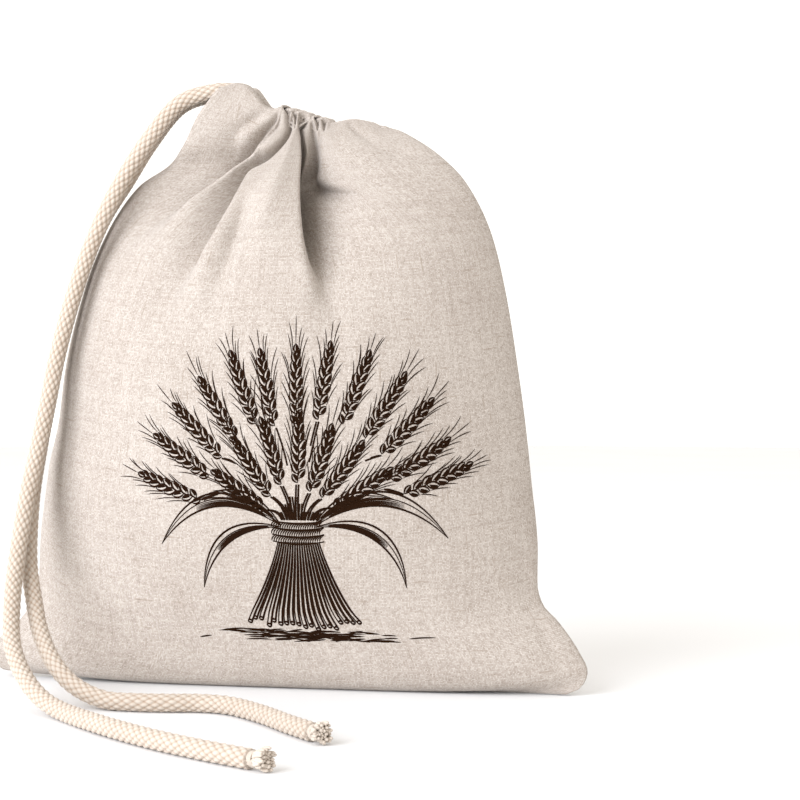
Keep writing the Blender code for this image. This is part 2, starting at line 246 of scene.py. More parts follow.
def cross_frames(line):
    """Two unit vectors across a line at each of its points, carried along it without twisting."""
    forward = unit(np.gradient(line, axis=0))
    sideways = [unit(np.cross(forward[0], (0, 0, 1)))]
    for direction in forward[1:]:
        sideways.append(unit(sideways[-1] - direction * (sideways[-1] @ direction)))
    return np.array(sideways), np.cross(np.array(sideways), forward)


def kept_above(points, height):
    """The points, with none lower than a height."""
    return np.maximum(points, (-np.inf, -np.inf, height))


def circle(sideways, upwards, angle):
    """Unit vectors at an angle from sideways towards upwards."""
    return sideways * np.cos(angle) + upwards * np.sin(angle)


def tube_faces(rings, sides):
    """Quads of a tube's wall, then of its two ends, each closed by a ladder of quads across it."""
    index = np.arange(rings * sides).reshape(rings, sides)
    following = np.roll(index, -1, axis=1)
    wall = np.stack([index[:-1], index[1:], following[1:], following[:-1]], axis=-1).reshape(-1, 4)
    step = np.arange(sides // 2 - 1)
    ladder = np.stack([step, step + 1, sides - 2 - step, sides - 1 - step], axis=-1)
    return np.concatenate([wall, index[0][ladder], index[-1][ladder[:, ::-1]]])


def tube_uv(along, sides, faces):
    """UV of each corner of those quads, before add_piece scales it by MM.

    U is the share of the way round, and V the distance along.
    """
    ring, place = np.divmod(faces, sides)
    u = place / sides
    u = np.where((u == 0) & (u.max(axis=1, keepdims=True) > 0.75), 1.0, u)
    return np.stack([u / MM, along[ring]], axis=-1)


def add_piece(name, points, faces, uv, surface):
    """A closed, smooth piece from quads. Its points and each corner's UV are scaled by MM."""
    mesh = bpy.data.meshes.new(name)
    mesh.vertices.add(len(points))
    mesh.vertices.foreach_set("co", (points * MM).ravel())
    mesh.loops.add(faces.size)
    mesh.loops.foreach_set("vertex_index", faces.ravel())
    mesh.polygons.add(len(faces))
    mesh.polygons.foreach_set("loop_start", np.arange(0, faces.size, 4))
    mesh.update(calc_edges=True)
    mesh.uv_layers.new(name="cloth").data.foreach_set("uv", (uv * MM).ravel())
    mesh.materials.append(surface)
    mesh.shade_smooth()
    made = new_object(name, mesh)
    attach(made, "root")
    return made


def braided_radius(around, along):
    """Radius of the braid at a share of the way round and a distance along.

    Each visible plait is an arch across its strand, which sinks towards both ends of the stretch
    that lies on top: relief * sqrt(1 - (arch * across)^2) * (1 - 2 along^2).
    """
    a = PLAITS * around + along / PLAIT_PITCH
    b = PLAITS * around - along / PLAIT_PITCH
    strand_a, strand_b = np.round(a), np.round(b)
    a_on_top = np.mod(strand_a + strand_b, 2) == 0
    across = np.where(a_on_top, a - strand_a, b - strand_b)
    along_plait = np.where(a_on_top, b - strand_b, a - strand_a)
    arch = np.sqrt(np.clip(1 - (PLAIT_ARCH * across) ** 2, 0, 1))
    return CORE_RADIUS + PLAIT_RELIEF * arch * (1 - 2 * along_plait**2)


def braided_cord(node_name, route):
    """A cord on its route, and the distances and points along that route."""
    along, line = evenly_spaced(curve_through(np.array(route) / MM, 40), CORD_STEP)
    sideways, upwards = cross_frames(line)
    around = np.arange(CORD_SIDES) / CORD_SIDES
    outwards = circle(sideways[:, None], upwards[:, None], 2 * np.pi * around[:, None])
    radius = braided_radius(around[None, :], along[:, None])
    points = kept_above(line[:, None] + outwards * radius[..., None], CORD_OVER_TABLE)
    faces = tube_faces(len(line), CORD_SIDES)
    uv = tube_uv(along, CORD_SIDES, faces)
    made = add_piece(f"braided_{node_name}", points.reshape(-1, 3), faces, uv, cotton)
    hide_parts(node_name)
    return made, along, line


cotton = cotton_material()
left_cord, left_along, left_line = braided_cord("left_cord", LEFT_STRAND)
right_cord, right_along, right_line = braided_cord("right_cord", RIGHT_STRAND)


# --- Bound cord ends ---------------------------------------------------------------------------
# Thread is wound tightly round each end of the cord, and the cut yarns flare beyond it in a tuft.
WRAP_TURNS, WRAP_THREAD, WRAP_RADIUS = 5, 0.3, 2.95
WRAP_FROM, WRAP_TO = 0.9, 3.3  # beyond the cord's end
YARNS, YARN_SIDES, YARN_RADIUS = 42, 8, 0.62
YARN_STATIONS = np.array([-0.6, 0.8, 2.4, 3.6, 5.0, 6.5, 7.8, 8.9, 9.6, 9.9])  # beyond the cord's end
YARN_SHORTEST, YARN_LONGEST, YARN_WANDER = 0.88, 1.04, 0.22
TUFT_ROOT, TUFT_FLARE, TUFT_RISE = 2.35, 0.85, 0.11
FLARE_FROM, FLARE_LENGTH = 3.4, 4.2
# LOOSE_SHADE is painted shade in the grooves between the yarns' fibres
LOOSE_SHADE = (0.50, 0.42, 0.35)


def yarn_material():
    """Loose cotton yarn: fine fibres along it, with painted shade between the yarns."""
    made, tree, shader = new_material("loose cotton")
    round_it, along_it = first_two(tree, node(tree, "TexCoord", output="UV"))
    # the fibre stripes paint shade into the grooves between them
    fibre = ridges(tree, calc(tree, "MULTIPLY_ADD", along_it, 900.0, calc(tree, "MULTIPLY", round_it, 5.0)))
    colour = mixed(tree, fibre, (*LOOSE_SHADE, 1), (*COTTON, 1))
    set_fibre(tree, shader, colour, fibre, 0.00015)
    return made


def tubes(lines, radii, sides):
    """Points, quads and UV of a bundle of closed tubes; lines is tubes x rings x 3 in size."""
    count, rings = lines.shape[:2]
    sideways, upwards = np.array([cross_frames(line) for line in lines]).swapaxes(0, 1)
    angle = 2 * np.pi * (np.arange(sides) / sides)[:, None]
    outwards = circle(sideways[:, :, None], upwards[:, :, None], angle)
    points = lines[:, :, None] + outwards * radii[..., None, None]
    faces = tube_faces(rings, sides)
    along = np.cumsum(np.linalg.norm(np.diff(lines[0], axis=0, prepend=lines[0, :1]), axis=1))
    uv = tube_uv(along, sides, faces)
    every = (faces + np.arange(count)[:, None, None] * rings * sides).reshape(-1, 4)
    return points.reshape(-1, 3), every, np.tile(uv, (count, 1, 1))


def bound_end(node_name, line, seed):
    """Yarns laid out as a sunflower's seeds in the binding; each flares outwards beyond it."""
    chance = np.random.default_rng(seed)
    forward = unit(unit(line[-1] - line[-2]) + (0, 0, TUFT_RISE))
    sideways = unit(np.cross(forward, (0, 0, 1)))
    upwards = np.cross(sideways, forward)
    turn = np.arange(YARNS) * np.pi * (3 - np.sqrt(5))
    spread = TUFT_ROOT * np.sqrt((np.arange(YARNS) + 0.5) / YARNS)
    length = chance.uniform(YARN_SHORTEST, YARN_LONGEST, YARNS)
    reach = YARN_STATIONS[None, :] * np.where(YARN_STATIONS > 4, length[:, None], 1)
    flare = np.clip((reach - FLARE_FROM) / FLARE_LENGTH, 0, 1)
    radial = spread[:, None] * (1 + TUFT_FLARE * flare * (2 - flare))
    swing = turn[:, None] + chance.normal(0, YARN_WANDER, (YARNS, 1)) * flare
    outwards = circle(sideways, upwards, swing[..., None])
    lines = line[-1] + forward * reach[..., None] + outwards * radial[..., None]
    tip = np.sqrt(np.clip((YARN_STATIONS[-1] + 0.25 - YARN_STATIONS) / 1.2, 0, 1))
    radii = YARN_RADIUS * (1 + 0.25 * flare) * tip
    yarns = tubes(lines, radii, YARN_SIDES)
    wind = np.linspace(0, WRAP_TURNS * 2 * np.pi, WRAP_TURNS * 24)[:, None]
    height = WRAP_FROM + (WRAP_TO - WRAP_FROM) * wind / wind[-1]
    wrap = line[-1] + forward * height + circle(sideways, upwards, wind) * WRAP_RADIUS
    binding = tubes(wrap[None], np.full((1, len(wrap)), WRAP_THREAD), 6)
    points = kept_above(np.concatenate([yarns[0], binding[0]]), CORD_OVER_TABLE)
    faces = np.concatenate([yarns[1], binding[1] + len(yarns[0])])
    uv = np.concatenate([yarns[2], binding[2]])
    made = add_piece(f"bound_{node_name}", points, faces, uv, loose_cotton)
    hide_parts(node_name)
    return made


loose_cotton = yarn_material()
left_end = bound_end("left_cord_end", left_line, 3)
right_end = bound_end("right_cord_end", right_line, 8)


# --- Linen panels ------------------------------------------------------------------------------
# Two panels of plain weave linen, sewn face to face down both sides and along the bottom and
# turned right side out, so each edge rolls into the seam. Their top edges are folded over the
# drawcord, which gathers them, and the folds fan out below the neck over the filled bag.
LINEN_THICKNESS = 0.5
# LINEN_DARK and LINEN_LIGHT span the threads' own tones and the painted shade of the weave's dips
LINEN_DARK, LINEN_LIGHT = (0.250, 0.204, 0.168), (0.486, 0.436, 0.389)
SLUB_COLOUR = (0.21, 0.155, 0.11)
THREAD_PITCH = 0.66
THREAD_DRIFT, SLUB_ALONG, SLUB_ACROSS = 480.0, 55.0, 620.0  # scales of a thread's unevenness, per metre
PANEL_HALF_WIDTH, PANEL_LENGTH = 140.0, 320.0
LINEN_OVER_TABLE = 0.02
CASING_SHOWN = 30.0  # how far the casing's inner layer is carried down inside
SEAM_STAND = 1.75  # distance between a panel's outer face and the seam's middle, before the roll
SEAM_GAP = 0.12  # left between each panel's tucked edge and the seam's middle
SLIT_HEIGHT = 268.0
COLUMNS = np.linspace(-1, 1, 216)  # share of the half width
HEIGHTS = np.concatenate([np.linspace(0, 205, 72, endpoint=False), np.linspace(205, PANEL_LENGTH, 96)])

# The neck gathers the middle of each panel: share of the half width -> X at the neck
GATHER_START, GATHER_START_X = -0.62, -9.0
GATHER_END, GATHER_END_X = 0.74, 20.0
GATHER_LOW, GATHER_HIGH = 215.0, 300.0
PUCKER_PITCH, PUCKER_RISE, PUCKER_DEPTH = 4.9, 1.5, 1.5
PUCKER_SHIFT, PUCKER_SHIFT_TURN = 1.2, 0.5  # makes the puckers uneven
PUCKER_FROM, PUCKER_TO, PUCKER_PHASE = -10.0, 18.0, -6.5
PUCKER_LOW, PUCKER_HIGH = 296.0, 314.0  # heights on the cloth over which they grow

# Side seams. Height on the cloth | left x, y, z | half width of the slit | right x, y, z
SEAMS = np.array([
    (0, -137, -25, 3.6, 0, 137, -28, 0.8),
    (4, -143, -24.5, 7, 0, 143.3, -27.5, 3.8),
    (12, -143.5, -24, 14, 0, 146, -27, 10.5),
    (24, -132, -22, 25, 0, 141.5, -25, 20),
    (36, -124.5, -18, 37, 0, 131.5, -21.5, 33),
    (44, -123, -15, 45, 0, 124.3, -17, 39.5),
    (52, -123.8, -12, 53, 0, 121.2, -13.5, 48),
    (70, -125.2, -6, 70, 0, 120.3, -7, 66),
    (100, -123.6, 0, 99, 0, 116.4, -1, 96),
    (125, -119.2, 3, 124, 0, 113.3, 2, 121),
    (150, -116.8, 5, 148, 0, 109.6, 4, 146),
    (190, -108.4, 9, 187, 0, 102.8, 7, 185),
    (220, -98, 11, 214, 0, 95.6, 9, 213),
    (250, -80.5, 12, 239, 0, 82, 11, 239),
    (SLIT_HEIGHT, -65, 12, 249, 0, 70, 12, 251),
    (280, -56.5, 12, 257, 5.5, 61, 12, 257.5),
    (300, -46, 12, 274, 9.0, 49, 12, 264),
    (PANEL_LENGTH, -36, 12, 285.5, 9.0, 42, 12, 266),
])

# Middle line of each panel, and how its rows bulge between the seams.
# Height on the cloth | y, z | squareness | roundness
FRONT = np.array([
    (0, -24.2, 0, 4, 1.0),
    (8, -32, 0, 4, 0.9),
    (14, -37.5, 2.5, 4, 0.8),
    (20, -41, 7.5, 4, 0.8),
    (32, -44.5, 19, 3.4, 0.8),
    (60, -48, 47, 2.8, 0.8),
    (100, -50, 87, 2.5, 0.8),
    (150, -47, 137, 2.3, 0.8),
    (190, -41, 177, 2.2, 0.8),
    (225, -31, 211, 2.1, 0.8),
    (255, -16, 237, 2.0, 0.8),
    (280, -2, 256, 2.0, 0.8),
    (300, 3.5, 265.5, 2.0, 0.8),
    (PANEL_LENGTH, 5.5, 271.5, 2.0, 0.8),
])
BACK = np.array([
    (0, -23.8, 0, 4, 1.0),
    (38, 12, 0, 3, 0.8),
    (52, 25, 3.5, 2.8, 0.8),
    (64, 33, 12, 2.6, 0.8),
    (90, 42, 35, 2.5, 0.8),
    (130, 49, 73, 2.4, 0.8),
    (180, 50, 123, 2.3, 0.8),
    (225, 46, 167, 2.2, 0.8),
    (260, 38, 203, 2.1, 0.8),
    (285, 28, 235, 2.0, 0.8),
    (300, 22.5, 257, 2.0, 0.8),
    (308, 21.5, 265, 2.0, 0.8),
    (PANEL_LENGTH, 21, 271.5, 2.0, 0.8),
])

BASE_LEVEL = (20, 80)  # heights on the cloth over which the rows stop being level
TOP_EDGE_FROM = 285  # height on the cloth from which its rows follow the top edge

# How far the top edge stands over its ring: x | rise
TOP_EDGE = np.array([
    (-36, 0), (-26, 6), (-13, -2), (-6, -1), (3, -1.5), (14, -2), (22, 0.5), (30, 2.8), (38, 2), (42, 0),
])

# Folds, each followed from the neck down. A row gives x, z | depth, or height where negative |
# half width on its upper or left side | half width on its lower or right side
FRONT_FOLDS = {
    "valley over the wing": (
        (-12, 278, 0.6, 1.5, 1.5), (-15, 273, 1.4, 2, 2), (-22, 268.5, 3.2, 3, 3),
        (-29, 263, 3, 4.5, 4), (-34, 255, 1.6, 6, 6), (-39, 247, 0, 7, 7),
    ),
    "rib under the wing": (
        (-9, 273, -0.5, 2, 1.2), (-15, 265.5, -1.4, 3, 1.5), (-25, 258.5, -2, 4, 2.5),
        (-38, 251, -1.5, 5, 4), (-52, 242, 0, 6, 6),
    ),
    "first valley": (
        (-6, 276, 1.8, 1.4, 1.1), (-9.7, 269, 4, 1.8, 1.1), (-15, 263, 9, 3, 1.1),
        (-20.5, 256, 14, 5, 1.3), (-32, 249.5, 18, 8, 1.6), (-44, 241, 18, 10, 2),
        (-56, 233, 16, 12, 3), (-68, 224, 9, 14, 6), (-80, 212, 3, 16, 10), (-88, 198, 0, 16, 12),
    ),
    "crease between the fingers": (
        (-5.5, 273, 1.2, 1.2, 1), (-7.4, 267.5, 3, 1.2, 1), (-12.5, 261, 3.4, 1.4, 0.9),
        (-16, 256, 0, 1.6, 1),
    ),
    "rib between the valleys": (
        (-14, 260, -0.5, 1.6, 1.6), (-21.7, 253.7, -2.2, 1.8, 2.2), (-31.5, 245.7, -3, 2.2, 3.5),
        (-43, 237.5, -2.4, 3, 5), (-62, 223, 0, 5, 7),
    ),
    "second valley": (
        (0.5, 275, 1.5, 1.2, 1), (-1.2, 267.5, 4, 1.3, 1), (-3.6, 259, 8, 1.8, 1),
        (-11, 250.5, 13, 3, 1.1), (-20.5, 246, 19, 6, 1.3), (-25, 238, 26, 10, 1.6),
        (-30, 228, 26, 13, 2.2), (-36.5, 217, 23, 14, 3), (-44, 206, 17, 16, 4.5), (-53, 190, 9, 18, 8),
        (-64, 168, 2.5, 21, 12), (-72, 150, 0, 20, 14),
    ),
    "third valley": (
        (3.3, 276, 1.8, 1.2, 1.2), (4.4, 267, 4.5, 1.2, 1.4), (6.2, 261.5, 8, 1.2, 2.5),
        (9.2, 253, 14, 1.3, 7), (11.4, 241, 23, 1.4, 14), (13.4, 231.5, 28, 1.6, 18),
        (18, 214, 25, 2.2, 22), (22.5, 202, 18, 3.2, 24), (27.5, 191, 10, 5, 24), (32, 178, 4, 9, 24),
        (36, 160, 0, 14, 24),
    ),
    "slit in the third valley": (
        (6.5, 258, 2, 1, 1.2), (9.4, 250, 10, 1.1, 2.8), (12, 240, 24, 1.2, 4.8),
        (14.5, 230, 31, 1.4, 6), (18.5, 219, 20, 1.8, 6.5), (22, 208, 9, 2.4, 6), (26, 198, 3, 3, 6),
        (30, 188, 0, 4, 6),
    ),
    "hollow beside the tongue": (
        (-17, 236, 0, 4, 5), (-18, 226, 3.5, 4, 8), (-20, 216, 6.5, 4.5, 9), (-22.5, 206, 7, 5.5, 10),
        (-26, 194, 5.5, 7, 12), (-31, 178, 2, 10, 14), (-36, 160, 0, 14, 15),
    ),
    "central tongue": (
        (1, 264, -1.5, 4, 3), (0, 250, -5, 8, 6), (-2, 238, -7, 11, 9), (-6, 222, -6, 14, 13),
        (-12, 204, -3, 17, 16), (-20, 185, 0, 20, 20),
    ),
    "right shoulder": ((20, 266, -0.5, 6, 6), (32, 240, -3, 12, 14), (44, 190, 0, 24, 24)),
    "narrow rib": (
        (4.8, 267, -0.8, 0.8, 0.8), (8.5, 260, -2.5, 1, 1), (11.8, 254, -5, 1.2, 1.2),
        (15.8, 243, -7, 1.5, 1.4), (18.3, 234, -5, 2, 1.8), (20.5, 224, -1.5, 2.6, 2.4),
        (22, 216, 0, 3, 3),
    ),
    "fourth valley": (
        (7.3, 274, 1.5, 1.1, 1.1), (9.5, 264.5, 4.2, 1.1, 1), (14.3, 254, 8, 1.3, 1.1),
        (18.2, 245.5, 11, 1.8, 1.1), (20.2, 240, 14, 2.8, 1.1), (24, 236.5, 12, 4, 1.1),
        (31, 233.3, 7, 5.5, 1.3), (40, 230, 2.5, 6.5, 3), (48, 227, 0, 8, 5),
    ),
    "dimple": (
        (11.5, 270, 0.8, 1.2, 1.2), (12.6, 264, 1.8, 1.2, 1.2), (14.4, 258, 2, 1.2, 1.4),
        (17, 252, 0, 1.4, 2),
    ),
    "crease on the hump": (
        (25.5, 270, 0.8, 0.8, 1.6), (27.5, 265.5, 1.5, 0.8, 1.8), (32, 262, 1.6, 0.8, 2),
        (37, 258.5, 0.9, 1, 2.2), (42, 255, 0, 1, 2.4),
    ),
    "dent below the hump": (
        (43, 254, 0.4, 2.5, 3), (49, 252, 1.5, 2.5, 3.5), (56, 252.5, 1.2, 2.5, 3.5),
        (64, 253, 0, 3, 4),
    ),
    "hollow below the third valley": (
        (20, 190, 0, 14, 14), (27, 160, 1.2, 16, 16), (30, 120, 0, 20, 20),
    ),
    "hollow below the second valley": (
        (-50, 200, 0, 12, 12), (-68, 170, 1.4, 15, 14), (-78, 130, 0, 18, 18),
    ),
    "crease into the right corner": (
        (112, 75, 0, 5, 5), (120, 48, 1.4, 5, 4), (130, 24, 1.4, 4, 4), (139, 8, 0, 4, 4),
    ),
    "seam allowance at the lower left": (
        (-141, 9.5, 0.2, 1, 2.5), (-128, 9.2, 0.7, 1, 3), (-112, 9, 0.5, 1, 3), (-98, 9, 0, 1, 3),
    ),
    "crease into the left corner": (
        (-112, 80, 0, 5, 5), (-119, 50, 1.2, 4, 5), (-130, 26, 1.2, 4, 4), (-138, 10, 0, 4, 4),
    ),
}
BACK_FOLDS = {
    "first": (
        (-5, 276, 2, 1.5, 1.5), (-8, 267, 4, 2.5, 2), (-22, 240, 6.5, 7, 3), (-58, 205, 3, 12, 8),
        (-76, 185, 0, 14, 12),
    ),
    "second": (
        (-1, 276, 2, 1.5, 1.5), (-2, 267, 3.5, 2, 2), (-6, 235, 7.5, 3, 6), (-20, 180, 3, 10, 12),
        (-28, 145, 0, 14, 14),
    ),
    "third": (
        (4, 276, 2, 1.5, 1.5), (4.5, 267, 4, 2, 2), (9, 230, 8.5, 6, 3), (8, 165, 3, 12, 10),
        (6, 125, 0, 15, 15),
    ),
    "fourth": (
        (8, 276, 2, 1.5, 1.5), (9.5, 266, 4, 2, 2), (22, 240, 6.5, 2.5, 6), (44, 200, 3, 8, 11),
        (60, 165, 0, 14, 14),
    ),
    "fifth": (
        (14, 274, 1, 2, 2), (17, 265, 2, 2.5, 2.5), (38, 245, 4.5, 3, 6), (70, 218, 2.4, 6, 10),
        (86, 200, 0, 10, 12),
    ),
    "sixth": (
        (-14, 276, 1, 2, 2), (-20, 262, 2.5, 3.5, 2.5), (-40, 245, 3.5, 6, 4), (-66, 228, 1.2, 9, 8),
        (-80, 214, 0, 10, 10),
    ),
    "right hollow": ((60, 170, 0, 14, 14), (66, 130, 1.5, 16, 16), (64, 80, 0, 20, 20)),
    "left hollow": ((-50, 180, 0, 14, 14), (-58, 130, 1.6, 18, 16), (-56, 80, 0, 20, 20)),
}
# How far each millimetre of depth also moves the cloth to the left, under the fold's left bank
FOLD_LEANS = {
    "first valley": -0.1, "second valley": -0.1, "third valley": 0.5, "slit in the third valley": 0.5,
    "narrow rib": 0.2,
}
FOLD_SHARPNESS = 1.5
FOLD_FADE, FOLD_LEFT = 306.0, 0.4  # the folds flatten from this height to this share at the top edge
FOLD_CLEARANCE = 8.5  # from a fold of the front to the back, at the same height on the cloth

# A side edge's turn into the seam: how far in it ends, and how far out its curve is drawn before
ROLL_TUCK, ROLL_LEAN, ROLL_BULGE = 1.4, 1.1, 0.4
ROLL_STEPS = np.linspace(0, 1, 7)[1:]
TOP_ROLL_THIN, TOP_ROLL_FULL = 0.7, 4.5  # radius of the fold at the top edge, bare and over the cord
TOP_ROLL_FROM, TOP_ROLL_TO = -27.0, -22.0  # x over which it opens, just past the cords' start
TOP_ROLL_MIDDLE_Y, TOP_ROLL_APART = 12.7, 1.4  # both panels' rolls stay this far off the middle
TOP_ROLL_STEPS = np.linspace(0, np.pi, 9)[1:]
# Below the top edge, the inner layer draws back from the fold's width to lie on the outer one
CASING_CLOSES_FROM, CASING_CLOSES_TO = 3.0, 18.0


def ramp(value, start, end):
    """0 before start, 1 after end, and a smooth S between them."""
    t = np.clip((value - start) / (end - start), 0, 1)
    return t * t * (3 - 2 * t)


def read(table, column, at):
    """A column of a table against its first one, by a cubic that never overshoots its rows."""
    x, y = table[:, 0], table[:, column]
    step, slope = np.diff(x), np.diff(y) / np.diff(x)
    before, after = slope[:-1], slope[1:]
    weight_before, weight_after = 2 * step[1:] + step[:-1], step[1:] + 2 * step[:-1]
    same_sign = before * after > 0
    safe_before, safe_after = np.where(same_sign, before, 1), np.where(same_sign, after, 1)
    mean = (weight_before + weight_after) / (weight_before / safe_before + weight_after / safe_after)
    tangent = np.concatenate([slope[:1], np.where(same_sign, mean, 0), slope[-1:]])
    i = np.clip(np.searchsorted(x, at, side="right") - 1, 0, len(step) - 1)
    t = np.clip((at - x[i]) / step[i], 0, 1)
    return (
        (1 + 2 * t) * (1 - t) ** 2 * y[i]
        + t * (1 - t) ** 2 * step[i] * tangent[i]
        + t * t * (3 - 2 * t) * y[i + 1]
        + t * t * (t - 1) * step[i] * tangent[i + 1]
    )


def filled_rows(t, height, side):
    """Outer face of a panel without folds; t runs from -1 at the left seam to 1 at the right.

    x runs evenly between the seams. y and z leave the straight line between the seams by the
    bulge (1 - |t|^squareness)^roundness, which is full at the panel's middle line. Near the
    table the bulge brings every point level with the middle, so that the base is flat.
    """
    seams = (read(SEAMS, k, height) for k in range(1, 8))
    left_x, left_y, left_z, slit, right_x, right_y, right_z = seams
    left_y, right_y = left_y + side * (SEAM_STAND + slit), right_y + side * SEAM_STAND
    middle = FRONT if side < 0 else BACK
    middle_y, middle_z, squareness, roundness = (read(middle, k, height) for k in range(1, 5))
    share = (t + 1) / 2
    bulge = np.clip(1 - np.abs(t) ** squareness, 0, 1) ** roundness
    x = left_x + (right_x - left_x) * share
    y = left_y + (right_y - left_y) * share + (middle_y - (left_y + right_y) / 2) * bulge
    level = (1 - ramp(height, *BASE_LEVEL)) * bulge
    z = (left_z + right_z) / 2 * (1 - bulge) + middle_z * bulge
    z = z + (right_z - left_z) * (share - 0.5) * (1 - level)
    rise = read(TOP_EDGE, 1, np.clip(x, TOP_EDGE[0, 0], TOP_EDGE[-1, 0]))
    z = z + ramp(height, TOP_EDGE_FROM, PANEL_LENGTH) * rise
    return np.stack([x, y, z], axis=-1)


def gathered_places(heights, side):
    """t of each column in each row: spaced evenly along the cloth, and drawn together at the neck."""
    fine = np.sin(np.linspace(-1, 1, 401) * np.pi / 2)
    rows = filled_rows(fine[None], heights, side)
    steps = np.linalg.norm(np.diff(rows, axis=1), axis=-1)
    along = np.concatenate([np.zeros((len(rows), 1)), np.cumsum(steps, axis=1)], axis=1)
    even = np.array([np.interp(COLUMNS, 2 * row / row[-1] - 1, fine) for row in along])
    left, right = rows[:, :1, 0], rows[:, -1:, 0]
    corners = np.broadcast_arrays(left, GATHER_START_X, GATHER_END_X, right)
    places = (-1, GATHER_START, GATHER_END, 1)
    gathered_x = np.array([np.interp(COLUMNS, places, row) for row in np.concatenate(corners, axis=1)])
    gathered = 2 * (gathered_x - left) / (right - left) - 1
    pull = ramp(heights, GATHER_LOW, GATHER_HIGH)
    return (1 - pull) * even + pull * gathered


def fold_depth(x, z, folds):
    """Depth of all folds together, and how far they lean to the left.

    Each is depth * exp(-|distance / half width|^sharpness), by the distance from its line.
    """
    total, leaning = np.zeros_like(x), np.zeros_like(x)
    place = np.stack([x, z], axis=-1)[..., None, :]
    for name, fold in folds.items():
        line = curve_through(fold, 5)
        start, step = line[:-1, :2], np.diff(line[:, :2], axis=0)
        share = np.clip(((place - start) * step).sum(-1) / (step**2).sum(-1), 0, 1)
        away = place - start - share[..., None] * step
        distance = np.linalg.norm(away, axis=-1)
        nearest = distance.argmin(axis=-1)[..., None]
        right_hand = away[..., 0] * -step[:, 1] + away[..., 1] * step[:, 0]
        distance, right_hand, share = (
            np.take_along_axis(values, nearest, axis=-1)[..., 0] for values in (distance, right_hand, share)
        )
        first, second = line[nearest[..., 0]], line[nearest[..., 0] + 1]
        station = np.moveaxis(first + (second - first) * share[..., None], -1, 0)
        width = np.where(right_hand < 0, station[3], station[4])
        pressed = station[2] * np.exp(-((distance / width) ** FOLD_SHARPNESS))
        total, leaning = total + pressed, leaning + pressed * FOLD_LEANS.get(name, 0)
    return total, leaning


def grid_normal(points, side):
    """Unit vectors out of a panel's face, square to its rows and columns."""
    across, up = np.gradient(points, axis=1), np.gradient(points, axis=0)
    normal = np.cross(across, up) * -side
    return normal / np.maximum(np.linalg.norm(normal, axis=-1, keepdims=True), 1e-9)


def folded_panel(side, behind=None):
    """Outer face of a panel with its folds pressed straight inwards, level with the table.

    Where the other panel's outer face is given, a fold's depth goes to depth * (1 + (depth /
    room)^4)^-0.25. The room is measured between rows of the same height on the cloth, and these
    lie lower on the back than on the front near the neck, so deep folds still meet the back there.
    """
    heights = HEIGHTS[:, None]
    base = filled_rows(gathered_places(heights, side), heights, side)
    inwards = -grid_normal(base, side) * (1, 1, 0)
    inwards /= np.maximum(np.linalg.norm(inwards, axis=-1, keepdims=True), 0.3)
    x, z = base[..., 0], base[..., 2]
    depth, leaning = fold_depth(x, z, FRONT_FOLDS if side < 0 else BACK_FOLDS)
    share = ramp(1 - np.abs(COLUMNS), 0, 0.1)
    share = share * (1 - (1 - FOLD_LEFT) * ramp(heights, FOLD_FADE, PANEL_LENGTH))
    depth, leaning = depth * share, leaning * share
    if behind is not None:
        rows = zip(x - leaning, behind)
        facing = np.array([np.interp(row, face[:, 0], face[:, 1]) for row, face in rows])
        room = np.abs(facing - base[..., 1]) - FOLD_CLEARANCE
        room /= np.maximum(np.abs(inwards[..., 1]), 0.3)
        held_back = (1 + (np.abs(depth) / np.maximum(room, 0.5)) ** 4) ** -0.25
        depth, leaning = depth * held_back, leaning * held_back
    outer = base + inwards * depth[..., None]
    outer[..., 0] -= leaning
    puckered = ramp(x, PUCKER_FROM, PUCKER_FROM + 4) * (1 - ramp(x, PUCKER_TO - 4, PUCKER_TO))
    uneven = x - PUCKER_PHASE + PUCKER_SHIFT * np.sin(x * PUCKER_SHIFT_TURN)
    wave = 2 * np.abs(np.cos(np.pi * uneven / PUCKER_PITCH)) - 1
    wave *= puckered * ramp(heights, PUCKER_LOW, PUCKER_HIGH)
    outer[..., 1] += side * PUCKER_DEPTH * wave
    outer[..., 2] += PUCKER_RISE * wave
    return kept_above(outer, LINEN_OVER_TABLE)


def with_rolled_sides(outer, side):
    """Adds columns that turn each side edge back into the seam, along a cubic Bezier curve."""
    rolled = []
    for edge, beside, outwards in ((0, 1, -1), (-1, -2, 1)):
        corner = outer[:, edge]
        seam = corner + (0, -side * (SEAM_STAND - SEAM_GAP), 0)
        control = (
            corner, corner + unit(corner - outer[:, beside]) * ROLL_LEAN,
            seam + (outwards * ROLL_BULGE, 0, 0), seam - (outwards * ROLL_TUCK, 0, 0),
        )
        q = ROLL_STEPS[:, None]
        weights = ((1 - q) ** 3, 3 * (1 - q) ** 2 * q, 3 * (1 - q) * q**2, q**3)
        rolled.append(sum(w * point[:, None] for w, point in zip(weights, control)))
    return kept_above(np.concatenate([rolled[0][:, ::-1], outer, rolled[1]], axis=1), LINEN_OVER_TABLE)


